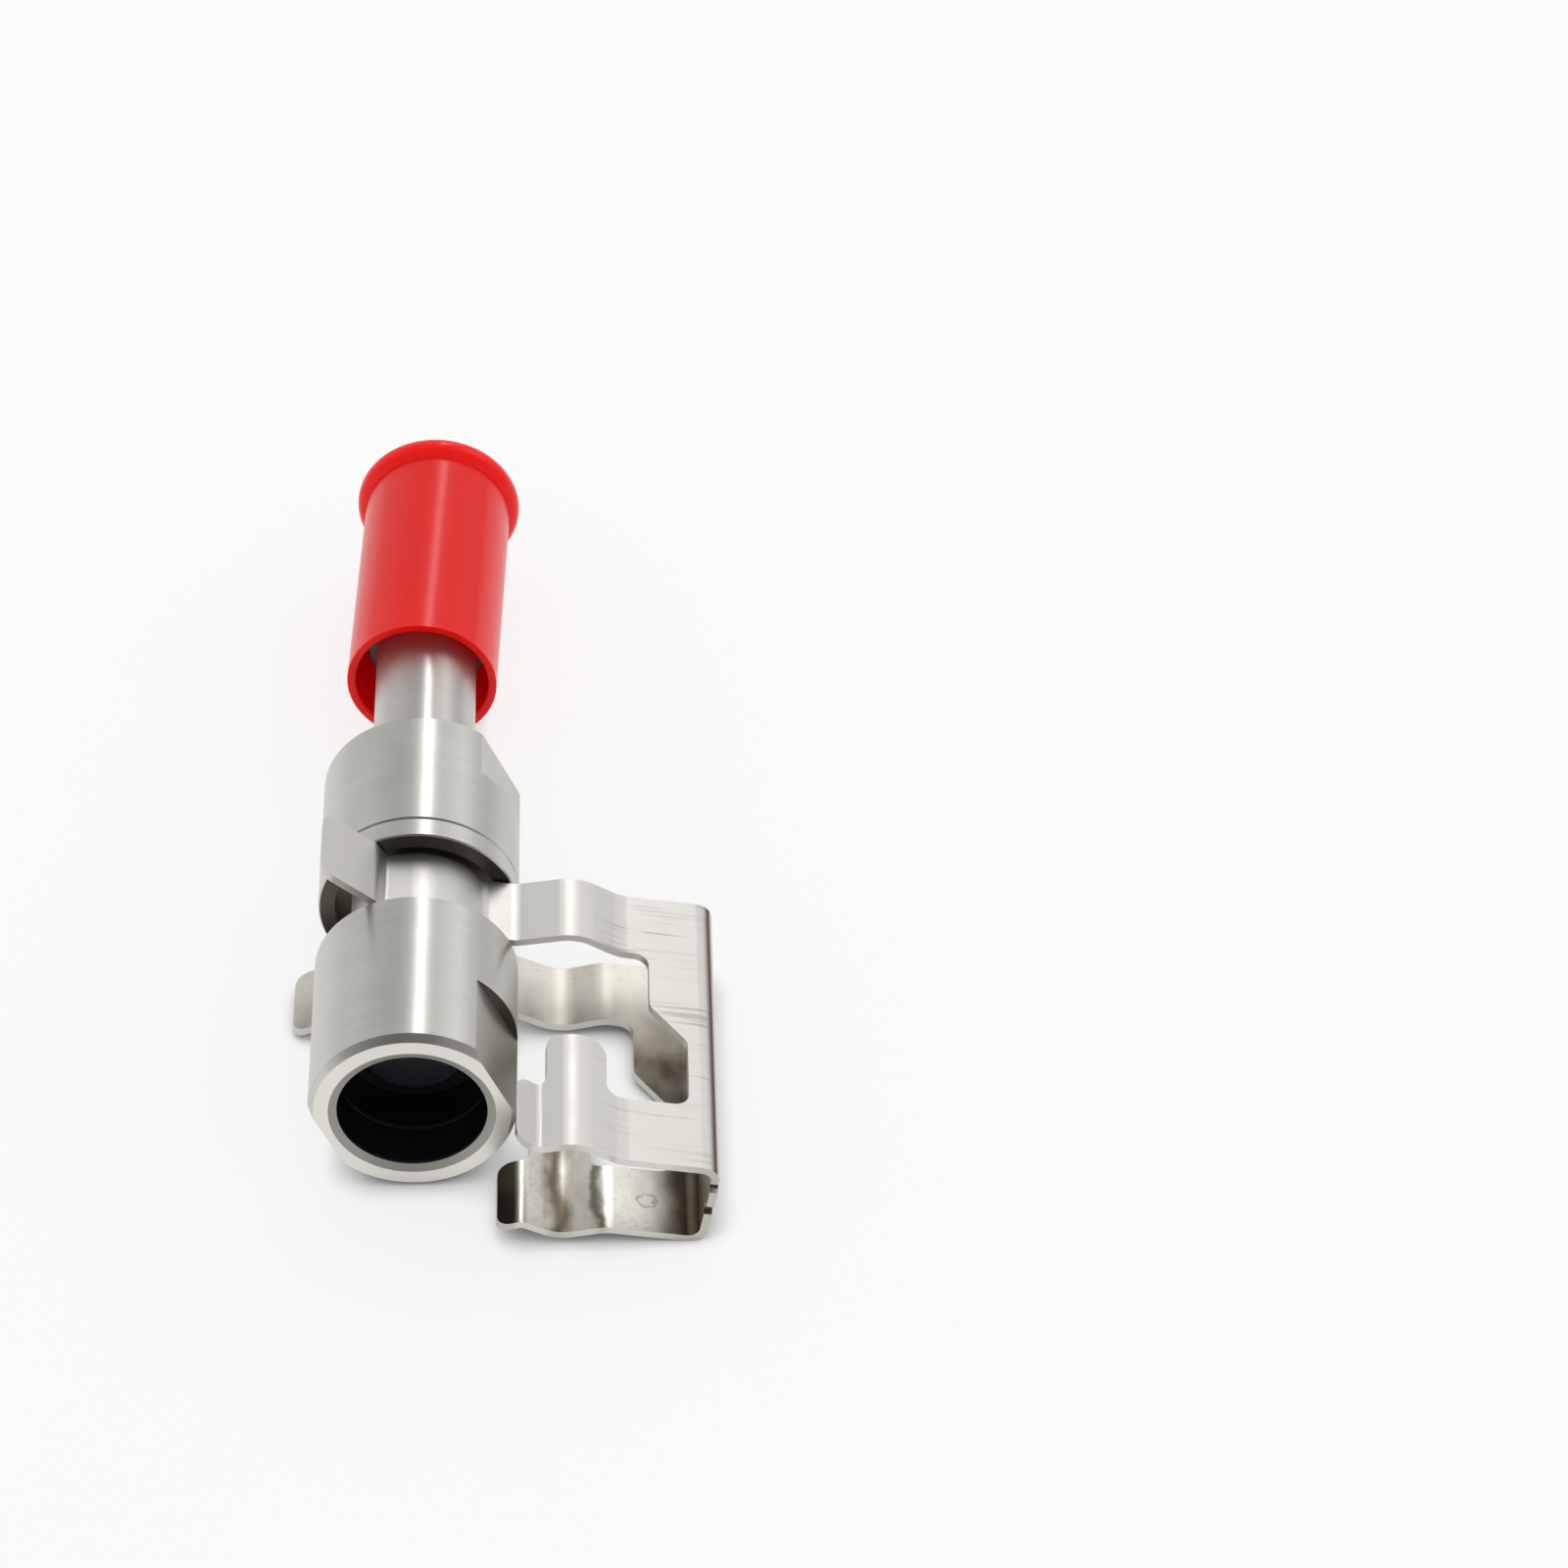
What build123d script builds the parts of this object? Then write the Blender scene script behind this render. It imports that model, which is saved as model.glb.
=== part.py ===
from build123d import *
import os
from math import asin, atan2, cos, hypot, radians, sin

# Quick coupling socket with a spring-steel retaining clip and a push-on protective cap.
# Millimetres. Origin: centre of the socket's mouth. The plug enters along +Y, +Z is up.

# ---- driving dimensions ----

# turned outside of the socket
body_dia = 27.0
barrel_length = 26.7
barrel_chamfer = 1.1            # along the axis
barrel_chamfer_rise = 0.7       # across it
neck_dia = 18.0
groove_width = 11.9
flange_width = 3.4
flange_rim = 2.2
flange_recess_depth = 1.4
edge_break = 0.2
seam_break = 0.25               # along the axis, on both sides of the joint

# wrench flats, the same on the barrel and on the rear body
flat_across = 24.0
flat_turn = 23.0                # degrees above the horizontal
barrel_flat_length = 13.8
rear_flat_length = 8.2

# plug bore and what lines it, front to back
bore_dia = 19.5
bore_depth = 13.5
lead_in_rise = 1.1
lead_in_depth = 0.45
bore_land = 0.5
lining_wall = 1.25
lining_gap = 0.03
liner_length = 4.6
backup_ring_width = 1.05
stack_gap = 0.05
plug_ring_section = 1.25
plug_ring_lip = 0.03            # how far the O-ring stands into the bore
gasket_thickness = 0.6
gasket_gap = 0.15               # to the lining
gasket_setback = 0.57           # from the edge of the seat bore

# valve
poppet_inset = 2.52             # the seat's shoulder, seen all round the poppet
poppet_clearance = 0.1
poppet_face_depth = 11.8
poppet_length = 5.8
poppet_edge = 0.3
poppet_ring_section = 1.3
seat_land = 4.5
chamber_rise = 2.07             # round the open poppet
chamber_length = 7.2
neck_wall = 1.6
stem_pin_dia = 4.0
stem_pin_tail = 1.6             # beyond the stem clip
pin_fit = 0.02
guide_front = 36.0
guide_width = 4.0
guide_hub_wall = 1.95
guide_rim = 1.2
guide_spoke = 1.6
guide_spokes = 3
guide_running_gap = 0.05
circlip_width = 1.0
circlip_bite = 0.5
circlip_depth = 1.0
stem_clip_width = 0.7
stem_clip_rise = 1.6
spring_wire = 0.9
spring_mean_dia = 10.6
spring_turns = 6
spring_gap = 0.1

# rear body, its stem and the threaded end
rear_body_length = 20.5
spigot_wall = 2.6
spigot_length = 10.0
spigot_gap = 0.05
spigot_end_gap = 0.5
joint_ring_section = 1.7
joint_ring_setback = 3.0
seal_gap = 0.025
stem_dia = 14.2
passage_dia = 10.0
tenon_wall = 1.2                # the stem's end, turned down to enter the threaded end
tenon_length = 9.0
braze_gap = 0.03
thread_dia = 18.0
thread_centre = 99.8
thread_length = 11.4
thread_chamfer = 1.0
undercut_width = 1.5
undercut_depth = 0.9
nose_step = 1.3
nose_length = 2.6
nose_ring_section = 1.35
nose_groove_depth = 0.7

# retaining clip, bent from one strip
sheet = 1.05
clip_height = 13.7
clip_reach = 39.3               # body axis to the outside of the fold
fold_radius = 2.6
clip_front = -11.0
clip_rear_gap = 0.3             # to the flange
arm_width = 11.0
wrap_gap = 0.3                  # arm to neck
wrap_from = 47.0                # degrees round the neck
wrap_to = 102.0
waist_step = 0.78               # from the end of the wrap down to the waist
waist_front = 12.3
hump_at = 20.3
rear_hump = 9.33
front_hump = 9.0
hump_foot = 26.3
flag_root = 5.6                 # left of the axis
flag_knee = 1.3                 # the flag leaves the wrap steeply, then eases
flag_rise = 1.7
flag_reach = 14.8
flag_height = 15.8
front_arm_tip = 12.3
front_arm_lip = 9.0
front_arm_dip = 15.4
front_dip_height = 7.45
flag_bend = 2.0                 # bend radii, outside the strip
flag_root_bend = 0.6
waist_end_bend = 2.0
waist_bend = 4.0
hump_bend = 7.0
hump_foot_bend = 5.0
dip_bend = 1.2
front_hump_bend = 6.0
tongue_left = 16.35
tongue_right = 24.2
tongue_tip = 8.9
window_rim = 4.15               # the fold's outside to the window
window_side_end = 11.6
window_step = 5.0
window_step_end = 17.6
arm_round = 1.8
tongue_round = 1.6
tongue_outer_round = 2.6
window_round = 2.0
shear_tab_height = -1.6         # centre of the torn carrier tab on the fold's front edge
shear_tab_width = 2.6
shear_tab_stub = 0.35
relief_radius = 0.9

# protective cap
cap_play = 0.4                  # round the thread
cap_wall = 1.2
cap_length = 42.4
cap_open_end = 14.3             # from the thread's centre back to the open rim
cap_end_wall = 1.8
cap_bead_rise = 1.3
cap_bead_width = 4.2
cap_rim_round = 0.3
cap_lean = 2.3                  # degrees, in plan: the loose cap sits askew on the thread

# ---- places worked out from them ----

body_r = body_dia / 2
bore_r = bore_dia / 2
neck_r = neck_dia / 2
groove_end = barrel_length + groove_width
seam = groove_end + flange_width
spigot_end = seam + spigot_length
rear_face = seam + rear_body_length
lining_front = lead_in_depth + bore_land
seat_end = bore_depth + seat_land
chamber_end = seat_end + chamber_length
guide_back = guide_front + guide_width
thread_front = thread_centre - thread_length / 2
thread_back = thread_centre + thread_length / 2
end_piece_front = thread_front - undercut_width
tenon_end = end_piece_front + tenon_length
nose_end = thread_back + nose_length

poppet_r = bore_r - poppet_inset
seat_bore_r = poppet_r + poppet_clearance
waterway_r = neck_r - neck_wall
spigot_r = waterway_r + spigot_wall
thread_r = thread_dia / 2
nose_r = thread_r - nose_step
tenon_r = passage_dia / 2 + tenon_wall

os.makedirs("parts", exist_ok=True)


def turned(outline):
    """Add the outline, as (radius, distance along the axis) points, turned about the Y axis."""
    with BuildSketch(Plane.XY) as section:
        with BuildLine():
            Polyline(*outline, close=True)
        make_face()
    revolve(section.sketch, axis=Axis.Y)


def bush(inner_r, outer_r, start, end):
    """Add a plain ring between two radii and two stations on the axis."""
    turned([(inner_r, start), (outer_r, start), (outer_r, end), (inner_r, end)])


def seal_ring(section, centre_r, station):
    """Add a round-section ring."""
    with BuildSketch(Plane.XY) as cord:
        with Locations((centre_r, station)):
            Circle(section / 2)
    revolve(cord.sketch, axis=Axis.Y)


def cut_wrench_flats(start, end):
    """Mill two opposite flats between two stations on the axis."""
    for turn in (flat_turn, flat_turn + 180):
        outward = (cos(radians(turn)), 0, sin(radians(turn)))
        flat_plane = Plane(origin=(0, start, 0), x_dir=(0, 1, 0), z_dir=outward)
        with BuildSketch(flat_plane.offset(flat_across / 2)) as mill:
            Rectangle(end - start, body_dia, align=(Align.MIN, Align.CENTER))
        extrude(mill.sketch, amount=body_dia, mode=Mode.SUBTRACT)


def finish(builder, name):
    builder.part.label = name
    export_step(builder.part, f"parts/{name}.step")


# ---- socket body: barrel, neck, flange ring and rear spigot in one turning ----

joint_groove_r = spigot_r + spigot_gap - joint_ring_section - 2 * seal_gap
joint_ring_at = spigot_end - joint_ring_setback
joint_groove_half = joint_ring_section / 2 + seal_gap
circlip_groove_end = guide_back + stack_gap + circlip_width + stack_gap

with BuildPart() as socket_body:
    turned([
        (bore_r + lead_in_rise, 0),
        (body_r - barrel_chamfer_rise, 0),
        (body_r, barrel_chamfer),
        (body_r, barrel_length - edge_break),
        (body_r - edge_break, barrel_length),
        (neck_r, barrel_length),
        (neck_r, groove_end + flange_recess_depth),
        (body_r - flange_rim, groove_end + flange_recess_depth),
        (body_r - flange_rim, groove_end),
        (body_r - edge_break, groove_end),
        (body_r, groove_end + edge_break),
        (body_r, seam - seam_break),
        (body_r - edge_break, seam),
        (spigot_r, seam),
        (spigot_r, joint_ring_at - joint_groove_half),
        (joint_groove_r, joint_ring_at - joint_groove_half),
        (joint_groove_r, joint_ring_at + joint_groove_half),
        (spigot_r, joint_ring_at + joint_groove_half),
        (spigot_r, spigot_end - edge_break),
        (spigot_r - edge_break, spigot_end),
        (waterway_r, spigot_end),
        (waterway_r, circlip_groove_end),
        (waterway_r + circlip_bite, circlip_groove_end),
        (waterway_r + circlip_bite, guide_back),
        (waterway_r, guide_back),
        (waterway_r, chamber_end),
        (poppet_r + chamber_rise, chamber_end),
        (poppet_r + chamber_rise, seat_end),
        (seat_bore_r, seat_end),
        (seat_bore_r, bore_depth),
        (bore_r + lining_wall, bore_depth),
        (bore_r + lining_wall, lining_front),
        (bore_r, lining_front),
        (bore_r, lead_in_depth),
    ])
    cut_wrench_flats(0, barrel_flat_length)
finish(socket_body, "socket_body")

# ---- lining of the plug bore: liner, backup ring, O-ring, spacer, face gasket ----

lining_r = bore_r + lining_wall - lining_gap
liner_end = lining_front + liner_length
backup_end = liner_end + stack_gap + backup_ring_width
ring_inner_r = bore_r - plug_ring_lip
ring_centre_r = ring_inner_r + plug_ring_section / 2
ring_at = backup_end + stack_gap + plug_ring_section / 2
spacer_front = ring_at + plug_ring_section / 2 + stack_gap

with BuildPart() as bore_liner:
    bush(bore_r, lining_r, lining_front, liner_end)
finish(bore_liner, "bore_liner")

with BuildPart() as seal_backup_ring:
    bush(bore_r, lining_r, liner_end + stack_gap, backup_end)
finish(seal_backup_ring, "seal_backup_ring")

with BuildPart() as plug_o_ring:
    seal_ring(plug_ring_section, ring_centre_r, ring_at)
finish(plug_o_ring, "plug_o_ring")

with BuildPart() as bore_spacer:
    bush(bore_r, lining_r, spacer_front, bore_depth)
finish(bore_spacer, "bore_spacer")

with BuildPart() as face_gasket:
    bush(seat_bore_r + gasket_setback, bore_r - gasket_gap, bore_depth - gasket_thickness, bore_depth)
finish(face_gasket, "face_gasket")

# ---- valve: head, O-ring, stem and its clip slide together ----

head_back = poppet_face_depth + poppet_length
head_groove_r = seat_bore_r - poppet_ring_section - 2 * seal_gap
head_ring_at = bore_depth + seat_land / 2
head_groove_half = poppet_ring_section / 2 + seal_gap
pin_start = head_back - poppet_length / 2
pin_end = guide_back + stem_clip_width + stack_gap + stem_pin_tail
spring_seat_r = (spring_mean_dia - spring_wire) / 2 - spring_gap

with BuildPart() as poppet_head:
    turned([
        (0, poppet_face_depth),
        (poppet_r - poppet_edge, poppet_face_depth),
        (poppet_r, poppet_face_depth + poppet_edge),
        (poppet_r, head_ring_at - head_groove_half),
        (head_groove_r, head_ring_at - head_groove_half),
        (head_groove_r, head_ring_at + head_groove_half),
        (poppet_r, head_ring_at + head_groove_half),
        (poppet_r, head_back),
        (spring_seat_r, head_back),
        (spring_seat_r, head_back + spring_wire),
        (stem_pin_dia / 2 + pin_fit, head_back + spring_wire),
        (stem_pin_dia / 2 + pin_fit, pin_start),
        (0, pin_start),
    ])
finish(poppet_head, "poppet_head")

with BuildPart() as poppet_o_ring:
    seal_ring(poppet_ring_section, head_groove_r + seal_gap + poppet_ring_section / 2, head_ring_at)
finish(poppet_o_ring, "poppet_o_ring")

with BuildPart() as poppet_stem:
    turned([
        (0, pin_start),
        (stem_pin_dia / 2, pin_start),
        (stem_pin_dia / 2, pin_end - edge_break),
        (stem_pin_dia / 2 - edge_break, pin_end),
        (0, pin_end),
    ])
finish(poppet_stem, "poppet_stem")

with BuildPart() as stem_clip:
    bush(stem_pin_dia / 2 + pin_fit, stem_pin_dia / 2 + stem_clip_rise, guide_back + stack_gap,
         guide_back + stack_gap + stem_clip_width)
finish(stem_clip, "stem_clip")

# ---- guide: a rim and a hub joined by three spokes, held by an internal circlip ----

guide_r = waterway_r - lining_gap
guide_hole_r = stem_pin_dia / 2 + guide_running_gap
guide_hub_r = guide_hole_r + guide_hub_wall
spoke_start = (guide_hole_r + guide_hub_r) / 2
spoke_end = guide_r - guide_rim / 2

with BuildPart() as poppet_guide:
    bush(guide_hole_r, guide_hub_r, guide_front, guide_back)
    bush(guide_r - guide_rim, guide_r, guide_front, guide_back)
    with BuildSketch(Plane(origin=(0, guide_front, 0), x_dir=(1, 0, 0), z_dir=(0, 1, 0))):
        with PolarLocations(0, guide_spokes):
            with Locations(((spoke_start + spoke_end) / 2, 0)):
                Rectangle(spoke_end - spoke_start, guide_spoke)
    extrude(amount=guide_width)
finish(poppet_guide, "poppet_guide")

circlip_outer_r = waterway_r + circlip_bite - lining_gap
circlip_inner_r = circlip_outer_r - circlip_bite - circlip_depth
with BuildPart() as guide_circlip:
    bush(circlip_inner_r, circlip_outer_r, guide_back + stack_gap,
         guide_back + stack_gap + circlip_width)
    with BuildSketch(Plane(origin=(0, guide_back, 0), x_dir=(1, 0, 0), z_dir=(0, 1, 0))):
        with Locations((0, circlip_outer_r)):
            Rectangle(circlip_inner_r, 2 * circlip_outer_r - circlip_inner_r)
    extrude(amount=2 * circlip_width, mode=Mode.SUBTRACT)
finish(guide_circlip, "guide_circlip")

spring_start = head_back + spring_wire / 2 + stack_gap
spring_height = guide_front - stack_gap - spring_wire / 2 - spring_start
with BuildPart() as poppet_spring:
    with BuildLine():
        coil = Helix(
            pitch=spring_height / spring_turns,
            height=spring_height,
            radius=spring_mean_dia / 2,
            center=(0, spring_start, 0),
            direction=(0, 1, 0),
        )
    with BuildSketch(Plane(origin=coil @ 0, z_dir=coil % 0)):
        Circle(spring_wire / 2)
    sweep(path=coil, is_frenet=True)
finish(poppet_spring, "poppet_spring")

# ---- rear body with its stem, the joint O-ring and the threaded end ----

spigot_socket_end = spigot_end + spigot_end_gap

with BuildPart() as rear_body:
    turned([
        (spigot_r + spigot_gap, seam),
        (body_r - edge_break, seam),
        (body_r, seam + seam_break),
        (body_r, rear_face - edge_break),
        (body_r - edge_break, rear_face),
        (stem_dia / 2, rear_face),
        (stem_dia / 2, end_piece_front - stack_gap),
        (tenon_r, end_piece_front - stack_gap),
        (tenon_r, tenon_end),
        (passage_dia / 2, tenon_end),
        (passage_dia / 2, spigot_socket_end),
        (spigot_r + spigot_gap, spigot_socket_end),
    ])
    cut_wrench_flats(rear_face - rear_flat_length, rear_face)
finish(rear_body, "rear_body")

with BuildPart() as joint_o_ring:
    seal_ring(joint_ring_section, joint_groove_r + seal_gap + joint_ring_section / 2, joint_ring_at)
finish(joint_o_ring, "joint_o_ring")

nose_groove_r = nose_r - nose_groove_depth
nose_groove_half = nose_ring_section / 2 + seal_gap
nose_ring_at = thread_back + nose_length / 2
with BuildPart() as threaded_end:
    turned([
        (tenon_r + braze_gap, end_piece_front),
        (thread_r - undercut_depth, end_piece_front),
        (thread_r - undercut_depth, thread_front),
        (thread_r - thread_chamfer, thread_front),
        (thread_r, thread_front + thread_chamfer),
        (thread_r, thread_back - thread_chamfer),
        (thread_r - thread_chamfer, thread_back),
        (nose_r, thread_back),
        (nose_r, nose_ring_at - nose_groove_half),
        (nose_groove_r, nose_ring_at - nose_groove_half),
        (nose_groove_r, nose_ring_at + nose_groove_half),
        (nose_r, nose_ring_at + nose_groove_half),
        (nose_r, nose_end - edge_break),
        (nose_r - edge_break, nose_end),
        (passage_dia / 2, nose_end),
        (passage_dia / 2, tenon_end + braze_gap),
        (tenon_r + braze_gap, tenon_end + braze_gap),
    ])
finish(threaded_end, "threaded_end")

with BuildPart() as nose_o_ring:
    seal_ring(nose_ring_section, nose_groove_r + seal_gap + nose_ring_section / 2, nose_ring_at)
finish(nose_o_ring, "nose_o_ring")

# ---- retaining clip ----

# The clip swings on the neck until its fold rests on the surface the body lies on: the lowest
# point of the fold's rounded corner is level with the lowest point of the body.
corner_out = clip_reach - fold_radius
corner_down = clip_height / 2 - fold_radius
corner_swing = hypot(corner_out, corner_down)
clip_droop = asin((body_r - fold_radius) / corner_swing) - atan2(corner_down, corner_out)
clip_x = (cos(clip_droop), 0, -sin(clip_droop))
clip_up = (sin(clip_droop), 0, cos(clip_droop))

clip_rear = groove_end - clip_rear_gap
rear_arm_front = clip_rear - arm_width
front_arm_back = clip_front + arm_width
half_height = clip_height / 2
wrap_r = neck_r + wrap_gap + sheet
waist = wrap_r * sin(radians(wrap_from)) - waist_step

# where the straight runs either side of the wrap meet, and where the first one leaves the waist
wrap_middle = radians((wrap_from + wrap_to) / 2)
wrap_corner_r = wrap_r / cos(radians(wrap_to - wrap_from) / 2)
wrap_corner = (wrap_corner_r * cos(wrap_middle), wrap_corner_r * sin(wrap_middle))
waist_end = (wrap_r - waist * sin(radians(wrap_from))) / cos(radians(wrap_from))
root_height = (wrap_r + flag_root * cos(radians(wrap_to))) / sin(radians(wrap_to))

rear_half = [
    (-flag_reach, flag_height),
    (-flag_root - flag_knee, root_height + flag_rise),
    (-flag_root, root_height),
    wrap_corner,
    (waist_end, waist),
    (waist_front, waist),
    (hump_at, rear_hump),
    (hump_foot, half_height),
    (clip_reach, half_height),
]
rear_radii = [
    flag_bend,
    flag_root_bend,
    wrap_r,
    waist_end_bend,
    waist_bend,
    hump_bend,
    hump_foot_bend,
    fold_radius,
]
front_half = [
    (front_arm_tip, front_arm_lip),
    (front_arm_dip, front_dip_height),
    (hump_at, front_hump),
    (hump_foot, half_height),
    (clip_reach, half_height),
]
front_radii = [dip_bend, front_hump_bend, hump_foot_bend, fold_radius]


def bent_strip(half, radii, start, end):
    """Add the sheet between two stations, bent along a half outline and its mirror image."""
    outline = half + [(x, -z) for x, z in reversed(half)]
    with BuildSketch(Plane(origin=(0, start, 0), x_dir=clip_x, z_dir=(0, -1, 0))) as section:
        with BuildLine():
            FilletPolyline(*outline, radius=radii + radii[::-1])
            offset(amount=sheet, side=Side.RIGHT)
        make_face()
    extrude(section.sketch, amount=start - end)


def keep_plan(outline, corner_radii):
    """Trim both plates of the clip to an outline seen square to them."""
    below = tuple(-clip_reach * c for c in clip_up)
    with BuildSketch(Plane(origin=below, x_dir=clip_x, z_dir=clip_up)) as plan:
        with BuildLine():
            Polyline(*outline, close=True)
        make_face()
        for place, radius in corner_radii:
            fillet(plan.vertices().sort_by_distance(place)[0], radius)
    extrude(plan.sketch, amount=2 * clip_reach, mode=Mode.INTERSECT)


window_side = clip_reach - window_rim
window_edge = window_side - window_step
window_middle = (window_step_end + rear_arm_front) / 2
beyond = clip_reach + sheet

with BuildPart() as rear_strip:
    bent_strip(rear_half, rear_radii, window_middle, clip_rear)
    keep_plan(
        [
            (beyond, window_middle),
            (window_edge, window_middle),
            (window_edge, rear_arm_front),
            (-flag_reach, rear_arm_front),
            (-flag_reach, clip_rear),
            (beyond, clip_rear),
        ],
        [
            ((window_edge, rear_arm_front), window_round),
            ((-flag_reach, rear_arm_front), arm_round),
            ((-flag_reach, clip_rear), arm_round),
        ],
    )

with BuildPart() as front_strip:
    bent_strip(front_half, front_radii, clip_front, window_middle)
    keep_plan(
        [
            (beyond, clip_front),
            (front_arm_tip, clip_front),
            (front_arm_tip, front_arm_back),
            (tongue_left, front_arm_back),
            (tongue_left, tongue_tip),
            (tongue_right, tongue_tip),
            (tongue_right, front_arm_back),
            (window_side, front_arm_back),
            (window_side, window_side_end),
            (window_edge, window_step_end),
            (window_edge, window_middle),
            (beyond, window_middle),
        ],
        [
            ((front_arm_tip, clip_front), arm_round),
            ((front_arm_tip, front_arm_back), arm_round),
            ((tongue_left, front_arm_back), tongue_round),
            ((tongue_left, tongue_tip), tongue_round),
            ((tongue_right, tongue_tip), tongue_outer_round),
            ((tongue_right, front_arm_back), tongue_round),
            ((window_side, front_arm_back), window_round),
            ((window_side, window_side_end), window_round),
            ((window_edge, window_step_end), window_round),
        ],
    )

with BuildPart() as retaining_clip:
    add(rear_strip.part)
    add(front_strip.part)
    fold_face = Plane(origin=tuple(clip_reach * c for c in clip_x), x_dir=(0, 1, 0), z_dir=clip_x)
    relief_offset = shear_tab_width / 2 + relief_radius
    with BuildSketch(fold_face):
        for side in (-1, 1):
            with Locations((clip_front, -(shear_tab_height + side * relief_offset))):
                Circle(relief_radius)
    extrude(amount=2 * sheet, both=True, mode=Mode.SUBTRACT)
    with BuildSketch(fold_face):
        with Locations((clip_front, -shear_tab_height)):
            Rectangle(2 * shear_tab_stub, shear_tab_width)
    extrude(amount=-sheet)
finish(retaining_clip, "retaining_clip")

# ---- protective cap ----

lean = radians(cap_lean)
cap_plane = Plane(origin=(0, thread_centre, 0), x_dir=(cos(lean), -sin(lean), 0), z_dir=(0, 0, 1))
cap_axis = Axis((0, thread_centre, 0), (sin(lean), cos(lean), 0))
cap_back = cap_length - cap_open_end
cap_bore_r = thread_r + cap_play
cap_r = cap_bore_r + cap_wall
bead_r = cap_bead_width / 2
bead_centre_r = cap_r + cap_bead_rise - bead_r

with BuildPart() as protective_cap:
    with BuildSketch(cap_plane):
        with BuildLine():
            Polyline(
                (0, cap_back),
                (0, cap_back - cap_end_wall),
                (cap_bore_r, cap_back - cap_end_wall),
                (cap_bore_r, -cap_open_end),
                (cap_r, -cap_open_end),
                (cap_r, cap_back - bead_r),
                (bead_centre_r, cap_back - bead_r),
                (bead_centre_r, cap_back),
                close=True,
            )
        make_face()
        with Locations((bead_centre_r, cap_back - bead_r)):
            Circle(bead_r)
    revolve(axis=cap_axis)
    fillet(edges().filter_by(GeomType.CIRCLE).group_by(SortBy.DISTANCE)[0], cap_rim_round)
finish(protective_cap, "protective_cap")
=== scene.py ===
from math import radians

import bpy
import numpy as np
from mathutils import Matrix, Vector


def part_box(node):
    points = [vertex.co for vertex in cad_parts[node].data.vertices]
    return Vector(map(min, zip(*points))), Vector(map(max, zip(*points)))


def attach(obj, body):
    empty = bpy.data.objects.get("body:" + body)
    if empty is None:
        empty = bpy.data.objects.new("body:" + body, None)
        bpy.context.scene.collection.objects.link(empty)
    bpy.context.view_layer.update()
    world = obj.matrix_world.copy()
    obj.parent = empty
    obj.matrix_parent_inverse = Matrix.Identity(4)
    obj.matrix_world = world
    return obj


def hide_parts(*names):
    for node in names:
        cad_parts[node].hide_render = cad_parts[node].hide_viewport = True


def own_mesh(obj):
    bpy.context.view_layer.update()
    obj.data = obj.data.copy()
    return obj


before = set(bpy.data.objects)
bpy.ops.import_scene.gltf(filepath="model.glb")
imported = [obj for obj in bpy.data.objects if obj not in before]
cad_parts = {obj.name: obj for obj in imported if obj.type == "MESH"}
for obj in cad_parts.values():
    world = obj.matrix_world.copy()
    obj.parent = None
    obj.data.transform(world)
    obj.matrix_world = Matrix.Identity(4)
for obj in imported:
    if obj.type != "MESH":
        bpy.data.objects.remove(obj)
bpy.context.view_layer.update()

mm = 0.001


def linear(hexColour):
    # sRGB hex to the linear RGBA that a socket wants
    channels = [int(hexColour[i:i + 2], 16) / 255 for i in (1, 3, 5)]
    return [c / 12.92 if c <= 0.04045 else ((c + 0.055) / 1.055) ** 2.4 for c in channels] + [1.0]


def node(tree, kind, sockets=None, output=0, stops=None, **settings):
    # adds one node and gives back one of its outputs
    # each socket takes a value, a hex colour or another node's output
    made = tree.nodes.new("ShaderNode" + kind)
    for name, value in settings.items():
        setattr(made, name, value)
    for place, given in (sockets or {}).items():
        if isinstance(given, bpy.types.NodeSocket):
            tree.links.new(given, made.inputs[place])
        else:
            made.inputs[place].default_value = linear(given) if isinstance(given, str) else given
    if stops:
        ramp = made.color_ramp
        while len(ramp.elements) < len(stops):
            ramp.elements.new(0.5)
        for element, (where, level) in zip(ramp.elements, stops):
            element.position = where
            element.color = (level, level, level, 1)
    return made.outputs[output] if made.outputs else made


def newMaterial(name):
    made = bpy.data.materials.new(name)
    made.use_nodes = True
    made.node_tree.nodes.clear()
    return made, made.node_tree


def dress(names, material):
    for name in names:
        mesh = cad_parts[name].data
        mesh.materials.clear()
        mesh.materials.append(material)
        mesh.polygons.foreach_set("material_index", np.zeros(len(mesh.polygons), np.int32))


turnedLook = {
    "colour": "#D2D0CA",
    "groove": "#CAC8C2",
    "paintedFaceReflection": "#E9E6DE",            # painted reflection: flat faces at the mouth drawn brighter than the rounds
    "paintedWallShade": "#67625A",           # painted shade: walls further back that face the plug drawn dark
    "facedTilt": (-0.9, -0.98),    # the normal's Y where a face begins to count as flat, and where it does
    "mouth": 5 * mm,
    "paintedLeadInShade": "#716E68",           # painted shade: the bore's lead-in drawn darker
    "leadInRadius": 10.9 * mm,
    "leadInEnd": 1.6 * mm,
    "feed": 0.3 * mm,              # feed marks are about 0.1 mm apart, drawn coarser so they show
    "ringStretch": 0.02,           # the marks change this much more slowly round the axis than along it
    "depth": 0.00012 * mm,
    "handling": 7 * mm,            # size of the patches where the gloss differs
    "roughness": (0.33, 0.38),     # least and most
    "anisotropy": 0.8,
}


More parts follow.
